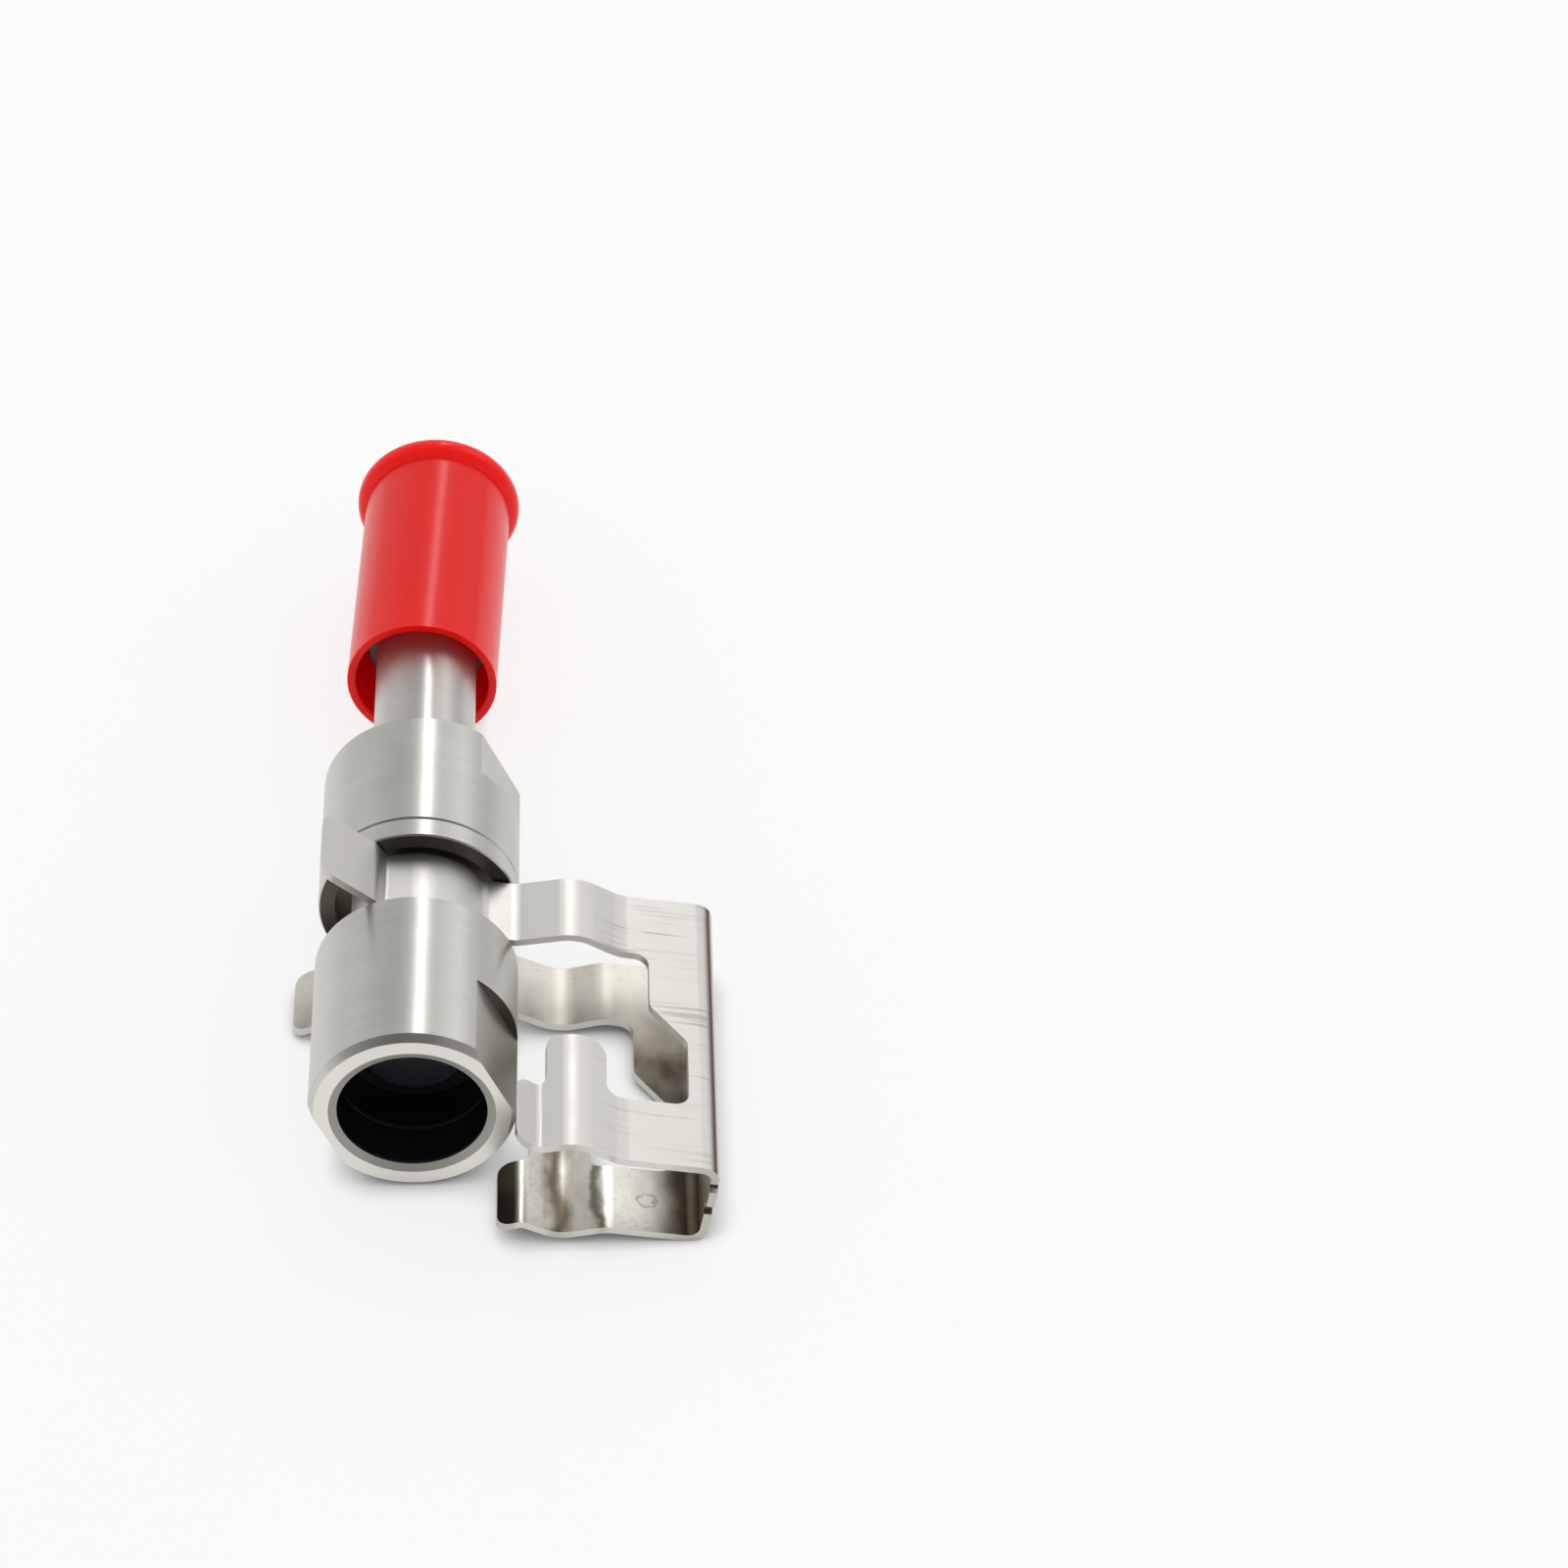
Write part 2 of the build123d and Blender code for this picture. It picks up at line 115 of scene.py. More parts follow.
def turnedSteel():
    # stainless bar, turned: rings round the axis draw each highlight out into a line along it
    look = turnedLook
    material, tree = newMaterial("stainlessSteelTurned")
    place = node(tree, "TexCoord", output=3)
    along = node(tree, "SeparateXYZ", {"Vector": place}, 1)
    stretch = (look["ringStretch"], 1.0, look["ringStretch"])
    ringPlace = node(tree, "Mapping", {"Vector": place, "Scale": stretch})
    rings = node(tree, "TexNoise", {"Vector": ringPlace, "Scale": 1 / look["feed"], "Detail": 5.0})
    fine = node(tree, "MapRange", {"Value": rings, "From Min": 0.35, "From Max": 0.75})
    bar = node(tree, "Mix", {"Factor": fine, 6: look["colour"], 7: look["groove"]}, 2, data_type="RGBA")

    # faces square to the axis: painted reflection at the mouth, painted shade further back
    facing = node(tree, "SeparateXYZ", {"Vector": node(tree, "TexCoord", output=1)}, 1)
    flatFrom, flatAt = look["facedTilt"]
    flat = node(tree, "MapRange", {"Value": facing, "From Min": flatFrom, "From Max": flatAt})
    behind = node(tree, "Math", {0: along, 1: look["mouth"]}, operation="GREATER_THAN")
    wall = node(tree, "Mix", {"Factor": behind, 6: look["paintedFaceReflection"], 7: look["paintedWallShade"]}, 2, data_type="RGBA")
    skin = node(tree, "Mix", {"Factor": flat, 6: bar, 7: wall}, 2, data_type="RGBA")

    # painted shade on the lead-in: near the axis, at the mouth and not flat
    spoke = node(tree, "Mapping", {"Vector": place, "Scale": (1, 0, 1)})
    radius = node(tree, "VectorMath", {0: spoke}, 1, operation="LENGTH")
    near = node(tree, "Math", {0: radius, 1: look["leadInRadius"]}, operation="LESS_THAN")
    atMouth = node(tree, "Math", {0: along, 1: look["leadInEnd"]}, operation="LESS_THAN")
    paintedLeadIn = node(tree, "Math", {0: 1.0, 1: flat}, operation="SUBTRACT")
    for share in (near, atMouth):
        paintedLeadIn = node(tree, "Math", {0: paintedLeadIn, 1: share}, operation="MULTIPLY")
    colour = node(tree, "Mix", {"Factor": paintedLeadIn, 6: skin, 7: look["paintedLeadInShade"]}, 2, data_type="RGBA")

    handling = node(tree, "TexNoise", {"Vector": place, "Scale": 1 / look["handling"], "Detail": 4.0})
    least, most = look["roughness"]
    rough = node(tree, "MapRange", {"Value": handling, "From Min": 0.3, "From Max": 0.7, "To Min": least,
                                    "To Max": most})
    bump = node(tree, "Bump", {"Height": rings, "Strength": 1.0, "Distance": look["depth"]})
    around = node(tree, "Tangent", direction_type="RADIAL", axis="Y")
    quarterTurn = 0.25
    shader = node(tree, "BsdfPrincipled",
                  {"Base Color": colour, "Roughness": rough, "Normal": bump, "Metallic": 1.0,
                   "Anisotropic": look["anisotropy"], "Anisotropic Rotation": quarterTurn,
                   "Tangent": around})
    node(tree, "OutputMaterial", {"Surface": shader})
    return material


# distances out are measured from the socket's axis along the sloping plates, towards the fold
# a tilt says how squarely a surface looks away from the other plate: 1 is its outside, -1 its inside
clipDroop = radians(10.553)        # the plates slope down to the fold by this much
stripLook = {
    "outside": "#D4D2CC",
    "rolled": "#CFCDC6",
    "rolledSpacing": 0.25 * mm,    # rolling lines are finer than this, drawn coarser so they show
    "rolledStretch": 0.05,         # rolling lines change this much more slowly out along the plate
    "rolledLeast": 0.35,           # how much of them the arms show
    "scratch": "#A09C93",
    "scratchSpacing": 0.4 * mm,
    "scratchStretch": 0.035,       # the same for drag marks
    "scratchFrom": 22 * mm,        # drag marks are on the broad part of the plates only
    "scratchFade": 3 * mm,
    "scratchShare": 0.6,
    "scratchTilt": (0.8, 0.95),    # and only where the plate is level
    "patch": 8 * mm,               # size of the patches that hold drag marks
    "patchStretch": 0.6,
    "foldReflection": "#5A2823",         # painted reflection: a dark red line along the outside of the fold
    "foldReflectionFrom": 36 * mm,
    "foldReflectionTilt": 0.72,          # tilt of the surface in the middle of the line
    "foldReflectionFade": (0.19, 0.05),  # change of tilt from there where the line ends, and where it is full
    "foldReflectionShare": 0.95,

    "insideTilt": (0.1, -0.3),     # where the inner side's colours begin, and where they are full
    "silver": "#E6E2D8",
    "tarnish": "#8C806C",
    "tarnishDark": "#4C4234",
    "humpTarnish": (20.0 * mm, 2.7 * mm, 0.95),    # a band's middle, half its width, and its share
    "creaseTarnish": (25.2 * mm, 1.0 * mm, 0.85),
    "foldTarnish": (31.5 * mm, 36.5 * mm),         # where it begins, and where it is full
    "tipTarnish": (15.0 * mm, 14.2 * mm),
    "smoke": 5 * mm,               # size of the clouds that break up the tarnish
    "smokeStretch": 0.7,           # the clouds are longer across the strip
    "ragged": 1.1 * mm,            # how far the clouds push its edges
    "cloudShare": 0.3,
    "rearFrom": 11 * mm,           # the arms behind this are the rear ones
    "rearBack": (36 * mm, 0.05),   # they are nearly clean at their back edge
    "rearFront": (20 * mm, 0.72),  # and brown towards the window
    "rearUneven": (0.55, 1.3),     # the clouds weaken and strengthen that brown by this much
    "grain": 0.6 * mm,
    "freckleShare": 0.22,
    "drop": (31.6 * mm, -5.6 * mm),
    "dropRadius": 1.15 * mm,
    "dropRim": (0.3 * mm, 0.05 * mm),              # distance from its ring: where it ends, where it is full
    "dropRagged": 0.35 * mm,
    "dropShare": 0.6,

    "roughness": (0.38, 0.43),     # outside, least and most
    "insideRoughness": 0.32,
    "rearRoughness": 0.46,         # inside of the rear arms, which is duller
}


def stripOutside(tree, place, out, tilt, patch):
    # rolling lines all over, drag marks in a few patches of the broad part, and a painted reflection, a
    # dark red line along the fold
    look = stripLook
    stretch = (look["scratchStretch"], 1.0, look["scratchStretch"])
    dragPlace = node(tree, "Mapping", {"Vector": place, "Scale": stretch})
    dragScale = 1 / look["scratchSpacing"]
    drag = node(tree, "TexNoise", {"Vector": dragPlace, "Scale": dragScale, "Detail": 0.0})
    marks = node(tree, "MapRange", {"Value": drag, "From Min": 0.6, "From Max": 0.7})
    kept = node(tree, "MapRange", {"Value": patch, "From Min": 0.38, "From Max": 0.6})
    broad = node(tree, "MapRange", {"Value": out, "From Min": look["scratchFrom"],
                                    "From Max": look["scratchFrom"] + look["scratchFade"],
                                    "To Max": look["scratchShare"]})
    levelFrom, levelAt = look["scratchTilt"]
    level = node(tree, "MapRange", {"Value": tilt, "From Min": levelFrom, "From Max": levelAt})
    for share in (kept, broad, level):
        marks = node(tree, "Math", {0: marks, 1: share}, operation="MULTIPLY")

    stretch = (look["rolledStretch"], 1.0, look["rolledStretch"])
    rolledPlace = node(tree, "Mapping", {"Vector": place, "Scale": stretch, "Location": (5, 5, 5)})
    rolledScale = 1 / look["rolledSpacing"]
    rolled = node(tree, "TexNoise", {"Vector": rolledPlace, "Scale": rolledScale, "Detail": 2.0})
    lines = node(tree, "MapRange", {"Value": rolled, "From Min": 0.45, "From Max": 0.7})
    share = node(tree, "MapRange", {"Value": broad, "To Min": look["rolledLeast"], "To Max": 1.0})
    lines = node(tree, "Math", {0: lines, 1: share}, operation="MULTIPLY")
    plain = node(tree, "Mix", {"Factor": lines, 6: look["outside"], 7: look["rolled"]}, 2,
                 data_type="RGBA")
    marked = node(tree, "Mix", {"Factor": marks, 6: plain, 7: look["scratch"]}, 2, data_type="RGBA")

    # painted reflection: a dark red line where the fold's outside turns
    turned = node(tree, "Math", {0: tilt, 1: look["foldReflectionTilt"]}, operation="SUBTRACT")
    off = node(tree, "Math", {0: turned}, operation="ABSOLUTE")
    fadeEnd, fadeFull = look["foldReflectionFade"]
    atTurn = node(tree, "MapRange", {"Value": off, "From Min": fadeEnd, "From Max": fadeFull,
                                     "To Max": look["foldReflectionShare"]})
    atFold = node(tree, "Math", {0: out, 1: look["foldReflectionFrom"]}, operation="GREATER_THAN")
    foldReflection = node(tree, "Math", {0: atTurn, 1: atFold}, operation="MULTIPLY")
    return node(tree, "Mix", {"Factor": foldReflection, 6: marked, 7: look["foldReflection"]}, 2, data_type="RGBA")


def stripInside(tree, place, out, along, isRear):
    # bands of brown across the strip at its bends, browned rear arms, fine freckles and one dried drop
    look = stripLook
    stretch = (1.0, look["smokeStretch"], 1.0)
    smokePlace = node(tree, "Mapping", {"Vector": place, "Scale": stretch, "Location": (11, 11, 11)})
    smoke = node(tree, "TexNoise", {"Vector": smokePlace, "Scale": 1 / look["smoke"], "Detail": 6.0})
    push = node(tree, "MapRange", {"Value": smoke, "From Min": 0.3, "From Max": 0.7,
                                   "To Min": -look["ragged"], "To Max": look["ragged"]})
    shifted = node(tree, "Math", {0: out, 1: push}, operation="ADD")
    shares = []
    for name in ("humpTarnish", "creaseTarnish"):
        centre, reach, share = look[name]
        offset = node(tree, "Math", {0: shifted, 1: centre}, operation="SUBTRACT")
        away = node(tree, "Math", {0: offset}, operation="ABSOLUTE")
        shares.append(node(tree, "MapRange", {"Value": away, "From Min": reach, "From Max": 0.0,
                                              "To Max": share}, interpolation_type="SMOOTHSTEP"))
    for name, where in (("foldTarnish", shifted), ("tipTarnish", out)):
        begin, full = look[name]
        shares.append(node(tree, "MapRange", {"Value": where, "From Min": begin, "From Max": full},
                           interpolation_type="SMOOTHSTEP"))
    bands = shares[0]
    for share in shares[1:]:
        bands = node(tree, "Math", {0: bands, 1: share}, operation="MAXIMUM")
    isFront = node(tree, "Math", {0: 1.0, 1: isRear}, operation="SUBTRACT")
    bands = node(tree, "Math", {0: bands, 1: isFront}, operation="MULTIPLY")

    (backEdge, backShare), (frontEdge, frontShare) = look["rearBack"], look["rearFront"]
    rear = node(tree, "MapRange", {"Value": along, "From Min": backEdge, "From Max": frontEdge,
                                   "To Min": backShare, "To Max": frontShare})
    rear = node(tree, "Math", {0: rear, 1: isRear}, operation="MULTIPLY")
    weakest, strongest = look["rearUneven"]
    uneven = node(tree, "MapRange", {"Value": smoke, "From Min": 0.35, "From Max": 0.65, "To Min": weakest,
                                     "To Max": strongest})
    rear = node(tree, "Math", {0: rear, 1: uneven}, operation="MULTIPLY", use_clamp=True)
    cloud = node(tree, "MapRange", {"Value": smoke, "From Min": 0.5, "From Max": 0.72,
                                    "To Max": look["cloudShare"]})

    # the drop: a ring with ragged edges
    dropX, dropY = look["drop"]
    dropPlace = node(tree, "Mapping", {"Vector": place, "Location": (-dropX, -dropY, 0),
                                       "Scale": (1, 1, 0)})
    radius = node(tree, "VectorMath", {0: dropPlace}, 1, operation="LENGTH")
    grain = node(tree, "TexNoise", {"Vector": place, "Scale": 1 / look["grain"], "Detail": 3.0})
    push = node(tree, "MapRange", {"Value": grain, "From Min": 0.3, "From Max": 0.7,
                                   "To Min": -look["dropRagged"], "To Max": look["dropRagged"]})
    raggedRadius = node(tree, "Math", {0: radius, 1: push}, operation="ADD")
    offset = node(tree, "Math", {0: raggedRadius, 1: look["dropRadius"]}, operation="SUBTRACT")
    rim = node(tree, "Math", {0: offset}, operation="ABSOLUTE")
    rimEnd, rimFull = look["dropRim"]
    dried = node(tree, "MapRange", {"Value": rim, "From Min": rimEnd, "From Max": rimFull,
                                    "To Max": look["dropShare"]})
    freckles = node(tree, "MapRange", {"Value": grain, "From Min": 0.45, "From Max": 0.75,
                                       "To Max": look["freckleShare"]})

    worn = bands
    for share in (rear, cloud, dried, freckles):
        worn = node(tree, "Math", {0: worn, 1: share}, operation="MAXIMUM")
    brown = node(tree, "Mix", {"Factor": smoke, 6: look["tarnish"], 7: look["tarnishDark"]}, 2,
                 data_type="RGBA")
    return node(tree, "Mix", {"Factor": worn, 6: look["silver"], 7: brown}, 2, data_type="RGBA")


def springStrip():
    # rolled spring strip, blanked and bent: satin outside with fine lines, shinier and browned inside
    # each noise is moved by a Location of its own, so that no two patterns line up
    look = stripLook
    material, tree = newMaterial("springSteelStrip")
    level = (0, -clipDroop, 0)
    place = node(tree, "Mapping", {"Vector": node(tree, "TexCoord", output=3), "Rotation": level})
    facing = node(tree, "Mapping", {"Vector": node(tree, "TexCoord", output=1), "Rotation": level},
                  vector_type="VECTOR")
    out = node(tree, "SeparateXYZ", {"Vector": place}, 0)
    along = node(tree, "SeparateXYZ", {"Vector": place}, 1)
    plate = node(tree, "Math", {0: node(tree, "SeparateXYZ", {"Vector": place}, 2)}, operation="SIGN")
    upward = node(tree, "SeparateXYZ", {"Vector": facing}, 2)
    tilt = node(tree, "Math", {0: plate, 1: upward}, operation="MULTIPLY")
    insideFrom, insideAt = look["insideTilt"]
    inside = node(tree, "MapRange", {"Value": tilt, "From Min": insideFrom, "From Max": insideAt})
    isRear = node(tree, "Math", {0: along, 1: look["rearFrom"]}, operation="GREATER_THAN")
    stretch = (look["patchStretch"], 1.0, look["patchStretch"])
    patchPlace = node(tree, "Mapping", {"Vector": place, "Scale": stretch, "Location": (3, 3, 3)})
    patch = node(tree, "TexNoise", {"Vector": patchPlace, "Scale": 1 / look["patch"], "Detail": 2.0})

    outer = stripOutside(tree, place, out, tilt, patch)
    inner = stripInside(tree, place, out, along, isRear)
    colour = node(tree, "Mix", {"Factor": inside, 6: outer, 7: inner}, 2, data_type="RGBA")
    least, most = look["roughness"]
    satin = node(tree, "MapRange", {"Value": patch, "From Min": 0.3, "From Max": 0.7, "To Min": least,
                                    "To Max": most})
    within = node(tree, "MapRange", {"Value": isRear, "To Min": look["insideRoughness"],
                                     "To Max": look["rearRoughness"]})
    rough = node(tree, "MapRange", {"Value": inside, "To Min": satin, "To Max": within})
    shader = node(tree, "BsdfPrincipled", {"Base Color": colour, "Roughness": rough, "Metallic": 1.0})
    node(tree, "OutputMaterial", {"Surface": shader})
    return material


capLook = {
    "colour": "#FF1A12",
    "deep": "#F7140E",
    "flow": 3 * mm,                # width of the flow marks
    "flowStretch": 0.2,            # they change this much more slowly along the pull
    "inner": "#FF0C08",            # painted light: inner walls a deeper red, for light coming through the thin wall
    "innerReach": 0.5 * mm,        # a wall is inner where it faces outward from the axis by less than this
    "lean": radians(2.3),          # the cap's axis leans this much in plan
    "foot": 99.8 * mm,             # where its axis crosses the socket's
    "roughness": (0.23, 0.26),     # least and most
    "grain": 0.8 * mm,
    "depth": 0.003 * mm,
    "gloss": 0.25,
    "ior": 1.51,
    "glow": 0.75,                  # share of the colour that comes from below the surface
    "glowReach": 4 * mm,           # red light travels this far in it
    "glowColours": (1.0, 0.12, 0.08),
}


def redPolyethylene():
    # soft polyethylene, injection moulded: even red, waxy gloss, faint flow marks along the pull
    look = capLook
    material, tree = newMaterial("polyethyleneMoulded")
    place = node(tree, "TexCoord", output=3)
    stretch = (1.0, look["flowStretch"], 1.0)
    flowPlace = node(tree, "Mapping", {"Vector": place, "Scale": stretch, "Location": (2, 2, 2)})
    flow = node(tree, "TexNoise", {"Vector": flowPlace, "Scale": 1 / look["flow"], "Detail": 4.0})
    outer = node(tree, "Mix", {"Factor": flow, 6: look["colour"], 7: look["deep"]}, 2, data_type="RGBA")

    # a wall that looks towards the cap's own axis is an inner one, and takes the painted light
    centred = node(tree, "VectorMath", {0: place, 1: (0, look["foot"], 0)}, operation="SUBTRACT")
    spoke = node(tree, "Mapping", {"Vector": centred, "Rotation": (0, 0, look["lean"])})
    spoke = node(tree, "Mapping", {"Vector": spoke, "Scale": (1, 0, 1)})
    facing = node(tree, "TexCoord", output=1)
    outward = node(tree, "VectorMath", {0: spoke, 1: facing}, 1, operation="DOT_PRODUCT")
    within = node(tree, "Math", {0: outward, 1: look["innerReach"]}, operation="LESS_THAN")
    colour = node(tree, "Mix", {"Factor": within, 6: outer, 7: look["inner"]}, 2, data_type="RGBA")

    least, most = look["roughness"]
    rough = node(tree, "MapRange", {"Value": flow, "From Min": 0.3, "From Max": 0.7, "To Min": least,
                                    "To Max": most})
    grain = node(tree, "TexNoise", {"Vector": place, "Scale": 1 / look["grain"], "Detail": 1.0})
    bump = node(tree, "Bump", {"Height": grain, "Strength": 0.2, "Distance": look["depth"]})
    shader = node(tree, "BsdfPrincipled",
                  {"Base Color": colour, "Roughness": rough, "Normal": bump, "IOR": look["ior"],
                   "Specular IOR Level": look["gloss"], "Subsurface Weight": look["glow"],
                   "Subsurface Scale": look["glowReach"], "Subsurface Radius": look["glowColours"]})
    node(tree, "OutputMaterial", {"Surface": shader})
    return material


# acetal rod, turned: near black and glossy
linerLook = {
    "colour": "#0B0B0D",
    "second": "#141417",
    "patch": 2 * mm,               # size of the patches of the second shade
    "roughness": (0.14, 0.24),     # least and most
    "depth": 0.002 * mm,
}
# nitrile rubber, moulded: black and dull
sealLook = {
    "colour": "#101010",
    "second": "#1B1B1A",
    "patch": 1 * mm,
    "roughness": (0.4, 0.5),
    "depth": 0.004 * mm,
}
# acetal, moulded: dark blue grey with a soft sheen
poppetLook = {
    "colour": "#20222A",
    "second": "#2B2E37",
    "patch": 1.5 * mm,
    "roughness": (0.38, 0.48),
    "depth": 0.003 * mm,
}


def darkMaterial(name, look):
    # dark plastic or rubber: two near shades in soft patches, with a finer grain that breaks up the gloss
    grainsPerPatch = 6
    material, tree = newMaterial(name)
    place = node(tree, "TexCoord", output=3)
    patch = node(tree, "TexNoise", {"Vector": place, "Scale": 1 / look["patch"], "Detail": 4.0})
    shade = node(tree, "Mix", {"Factor": patch, 6: look["colour"], 7: look["second"]}, 2, data_type="RGBA")
    least, most = look["roughness"]
    rough = node(tree, "MapRange", {"Value": patch, "From Min": 0.3, "From Max": 0.7, "To Min": least,
                                    "To Max": most})
    grainScale = grainsPerPatch / look["patch"]
    grain = node(tree, "TexNoise", {"Vector": place, "Scale": grainScale, "Detail": 2.0})
    bump = node(tree, "Bump", {"Height": grain, "Strength": 0.3, "Distance": look["depth"]})
    shader = node(tree, "BsdfPrincipled",
                  {"Base Color": shade, "Roughness": rough, "Normal": bump, "IOR": 1.5})
    node(tree, "OutputMaterial", {"Surface": shader})
    return material


print("materials")
steel = turnedSteel()
dress(["socket_body", "rear_body", "threaded_end", "poppet_stem", "guide_circlip", "stem_clip"], steel)
dress(["retaining_clip"], springStrip())
dress(["protective_cap"], redPolyethylene())
dress(["bore_liner", "bore_spacer", "seal_backup_ring"], darkMaterial("acetalTurned", linerLook))
dress(["plug_o_ring", "face_gasket", "poppet_o_ring", "joint_o_ring", "nose_o_ring"],
      darkMaterial("nitrileRubberMoulded", sealLook))
dress(["poppet_head", "poppet_guide"], darkMaterial("acetalMoulded", poppetLook))


print("spring")
springCoil = {
    "wire": 0.9 * mm,
    "turns": 6,
    "stepsPerTurn": 48,
    "stepsRoundWire": 16,
}


def coilMesh(low, high):
    # helix: the angle t goes round the Y axis while Y climbs evenly; the wire's circle stands square to it
    look = springCoil
    wireRadius = look["wire"] / 2
    coilRadius = (high.x - low.x) / 2 - wireRadius
    climb = (high.y - low.y - look["wire"]) / (2 * np.pi * look["turns"])
    t = np.linspace(0, 2 * np.pi * look["turns"], look["turns"] * look["stepsPerTurn"] + 1)[:, None]
    turn = np.linspace(0, 2 * np.pi, look["stepsRoundWire"], endpoint=False)[None, :]
    out = np.stack([np.sin(t), 0 * t, np.cos(t)], -1)
    forward = np.stack([coilRadius * np.cos(t), climb + 0 * t, -coilRadius * np.sin(t)], -1)
    forward /= np.linalg.norm(forward, axis=-1, keepdims=True)
    side = np.cross(forward, out)
    middleLine = coilRadius * out + np.stack([0 * t, low.y + wireRadius + climb * t, 0 * t], -1)
    points = middleLine + wireRadius * (np.cos(turn)[..., None] * out + np.sin(turn)[..., None] * side)
    rows, columns = points.shape[:2]
    index = np.arange(rows * columns).reshape(rows, columns)
    onward = np.roll(index, -1, axis=1)
    quads = np.stack([index[:-1], onward[:-1], onward[1:], index[1:]], -1).reshape(-1, 4)
    ends = [index[0][::-1].tolist(), index[-1].tolist()]
    mesh = bpy.data.meshes.new("poppetSpringCoil")
    mesh.from_pydata(points.reshape(-1, 3).tolist(), [], quads.tolist() + ends)
    mesh.polygons.foreach_set("use_smooth", np.array([True] * len(quads) + [False, False]))
    return mesh


# the CAD spring can't shorten when the poppet is pushed back, so this one stands for it
springLow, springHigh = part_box("poppet_spring")
coil = bpy.data.objects.new("poppetSpringCoil", coilMesh(springLow, springHigh))
bpy.context.scene.collection.objects.link(coil)
coil.data.materials.append(steel)
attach(coil, "socket")
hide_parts("poppet_spring")
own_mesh(coil)


print("floor")
floorLook = {
    "colour": "#F6F6F3",
    "mottle": "#F1F1EE",
    "mottleSize": 60 * mm,
    "halfSize": 1500 * mm,
    "ownWhite": 0.8,               # share of its white that it gives off itself, so shadows on it are pale
    "paintedShadowReach": 6 * mm,             # reach of the painted shadow where the object touches down
    "openness": (0.2, 0.85),       # how open the floor is where the painted shadow is full, and where it ends
    "paintedShadowWhite": 0.1,           # what is left of the white where the painted shadow is full
}
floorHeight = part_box("socket_body")[0].z


def bentRay(tree):
    # 1 for a ray that comes off a glossy surface or through a clear one
    return node(tree, "Math", {0: node(tree, "LightPath", output=3), 1: node(tree, "LightPath", output=6)},
                operation="MAXIMUM")


def laminateFloor():
    # matt white laminate: takes the object's shadow, plus a painted shadow darkest where they touch, with a
    # faint mottle
    look = floorLook
    material, tree = newMaterial("whiteLaminateFloor")
    place = node(tree, "TexCoord", output=3)
    mottle = node(tree, "TexNoise", {"Vector": place, "Scale": 1 / look["mottleSize"], "Detail": 2.0})
    colour = node(tree, "Mix", {"Factor": mottle, 6: look["colour"], 7: look["mottle"]}, 2,
                  data_type="RGBA")
    matt = node(tree, "BsdfDiffuse", {"Color": colour})
    # painted shadow: ambient occlusion dims the floor's own white where the object touches down
    openness = node(tree, "AmbientOcclusion", {"Distance": look["paintedShadowReach"]}, 1)
    shut, clear = look["openness"]
    whiteWithPaintedShadow = node(tree, "MapRange", {"Value": openness, "From Min": shut, "From Max": clear,
                                    "To Min": look["paintedShadowWhite"], "To Max": 1.0})
    glow = node(tree, "Emission", {"Color": (1, 1, 1, 1), "Strength": whiteWithPaintedShadow})
    fromCamera = node(tree, "LightPath", output=0)
    seen = node(tree, "Math", {0: fromCamera, 1: bentRay(tree)}, operation="MAXIMUM")
    share = node(tree, "Math", {0: seen, 1: look["ownWhite"]}, operation="MULTIPLY")
    mixed = node(tree, "MixShader", {0: share, 1: matt, 2: glow})
    node(tree, "OutputMaterial", {"Surface": mixed})
    return material


half = floorLook["halfSize"]
floorMesh = bpy.data.meshes.new("floor")
floorMesh.from_pydata([(-half, -half, floorHeight), (half, -half, floorHeight),
                       (half, half, floorHeight), (-half, half, floorHeight)], [], [(0, 1, 2, 3)])
floorMesh.materials.append(laminateFloor())
floor = bpy.data.objects.new("floor", floorMesh)
bpy.context.scene.collection.objects.link(floor)


print("lights")
lightLook = {
    "aim": (0.0, 0.04, 0.0),
    "stripLight": ((0.085, 0.62, 0.56), (0.04, 0.55), 0.6),      # place, width and height, watts
    "sideLight": ((2.0, 1.3, 2.2), (1.6, 1.6), 9.0),
}


def areaLight(name):
    place, size, watts = lightLook[name]
    lamp = bpy.data.lights.new(name, "AREA")
    lamp.shape = "RECTANGLE"
    lamp.size, lamp.size_y = size
    lamp.energy = watts
    made = bpy.data.objects.new(name, lamp)
    bpy.context.scene.collection.objects.link(made)
    made.location = place
    made.rotation_euler = (Vector(lightLook["aim"]) - Vector(place)).to_track_quat("-Z", "Y").to_euler()


for name in ("stripLight", "sideLight"):
    areaLight(name)


print("world")
worldLook = {
    "seen": "#FBFBF8",
    "ambient": 0.78,               # level for matt surfaces
    # brightness of the room in gloss: height above the horizon, from 0 to 1, and level
    "heights": [(0.0, 0.85), (0.12, 0.85), (0.45, 0.8), (0.72, 0.6), (1.0, 0.36)],
    # each fade: the axis that it runs along, where it starts and ends, and its value there
    "fades": {
        "cameraSide": ("Y", 0.2, -0.25, 0.0, 1.0),
        "aboveFloor": ("Z", 0.08, 0.35, 0.0, 0.8),
        "bandFoot": ("Z", 0.0, 0.03, 0.0, 1.0),
        "bandTop": ("Z", 0.13, 0.06, 0.0, 1.0),
        "bandRight": ("X", 0.2, 0.6, 0.3, 0.8),
        "glowLeft": ("X", -0.25, 0.12, 0.0, 1.0),
        "glowRight": ("X", 0.5, 0.25, 0.0, 1.0),
        "glowBack": ("Y", 0.3, 0.7, 0.0, 1.0),
        "glowHeight": ("Z", 0.15, 0.5, 0.0, 0.9),
    },
    # each tone laid over the room, and the fades that say where
    "tones": [
        ("#000000", ("cameraSide", "aboveFloor")),
        ("#4A302C", ("bandFoot", "bandTop", "bandRight")),
        ("#FFFFFF", ("glowLeft", "glowRight", "glowBack", "glowHeight")),
    ],
}


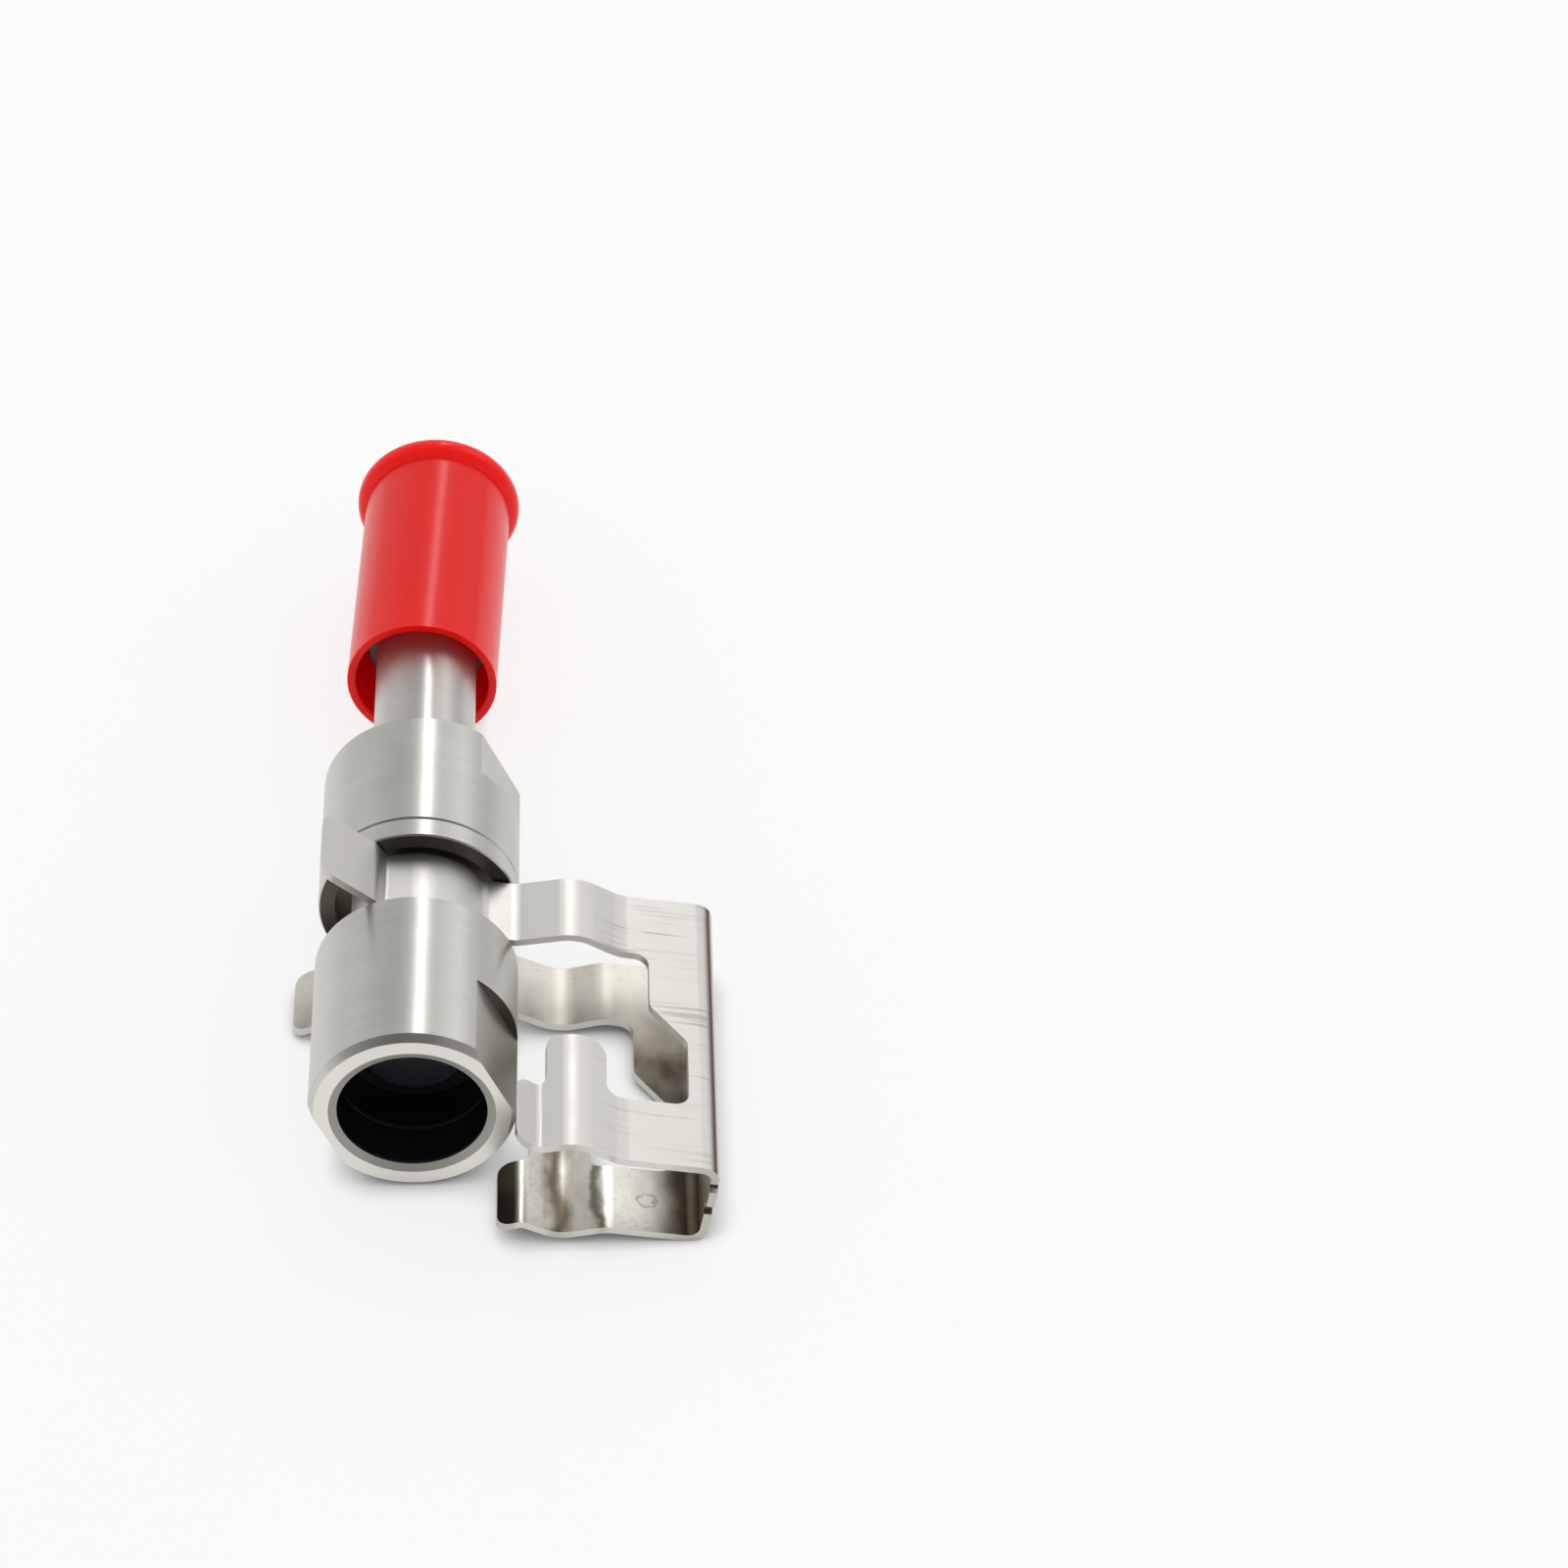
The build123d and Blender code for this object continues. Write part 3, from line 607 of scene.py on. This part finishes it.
def studioWorld():
    # camera rays see plain white and matt surfaces are lit evenly
    # gloss sees a pale room, dimmer overhead, darkest above the camera's side and bright at the back
    look = worldLook
    world = bpy.data.worlds.new("studio")
    bpy.context.scene.world = world
    world.use_nodes = True
    tree = world.node_tree
    tree.nodes.clear()
    toward = node(tree, "TexCoord", output=0)
    axes = {axis: node(tree, "SeparateXYZ", {"Vector": toward}, axis) for axis in "XYZ"}
    lit = node(tree, "ValToRGB", {"Fac": axes["Z"]}, stops=look["heights"])
    fades = {}
    for name, (axis, start, end, startValue, endValue) in look["fades"].items():
        fades[name] = node(tree, "MapRange", {"Value": axes[axis], "From Min": start, "From Max": end,
                                              "To Min": startValue, "To Max": endValue},
                           interpolation_type="SMOOTHSTEP")
    for tone, names in look["tones"]:
        share = fades[names[0]]
        for name in names[1:]:
            share = node(tree, "Math", {0: share, 1: fades[name]}, operation="MULTIPLY")
        lit = node(tree, "Mix", {"Factor": share, 6: lit, 7: tone}, 2, data_type="RGBA")
    seen = node(tree, "Background", {"Color": look["seen"], "Strength": 1.0})
    gloss = node(tree, "Background", {"Color": lit, "Strength": 1.0})
    soft = node(tree, "Background", {"Color": (1, 1, 1, 1), "Strength": look["ambient"]})
    unseen = node(tree, "MixShader", {0: bentRay(tree), 1: soft, 2: gloss})
    fromCamera = node(tree, "LightPath", output=0)
    either = node(tree, "MixShader", {0: fromCamera, 1: unseen, 2: seen})
    node(tree, "OutputWorld", {"Surface": either})


studioWorld()


print("camera")
cameraLook = {
    "place": (0.03312, -0.44497, 0.45217),
    "turn": -1.9165,               # degrees about +Z
    "down": 41.70,                 # degrees below the horizon
    "lens": 112.5,                 # millimetres, as is the sensor's width
    "sensor": 36.0,
    "clip": (10 * mm, 20000 * mm),
}
lens = bpy.data.cameras.new("camera")
lens.lens = cameraLook["lens"]
lens.sensor_width = cameraLook["sensor"]
lens.clip_start, lens.clip_end = cameraLook["clip"]
camera = bpy.data.objects.new("camera", lens)
bpy.context.scene.collection.objects.link(camera)
camera.location = cameraLook["place"]
camera.rotation_euler = (radians(90 - cameraLook["down"]), 0, radians(cameraLook["turn"]))
bpy.context.scene.camera = camera
bpy.context.scene.view_settings.view_transform = "Standard"
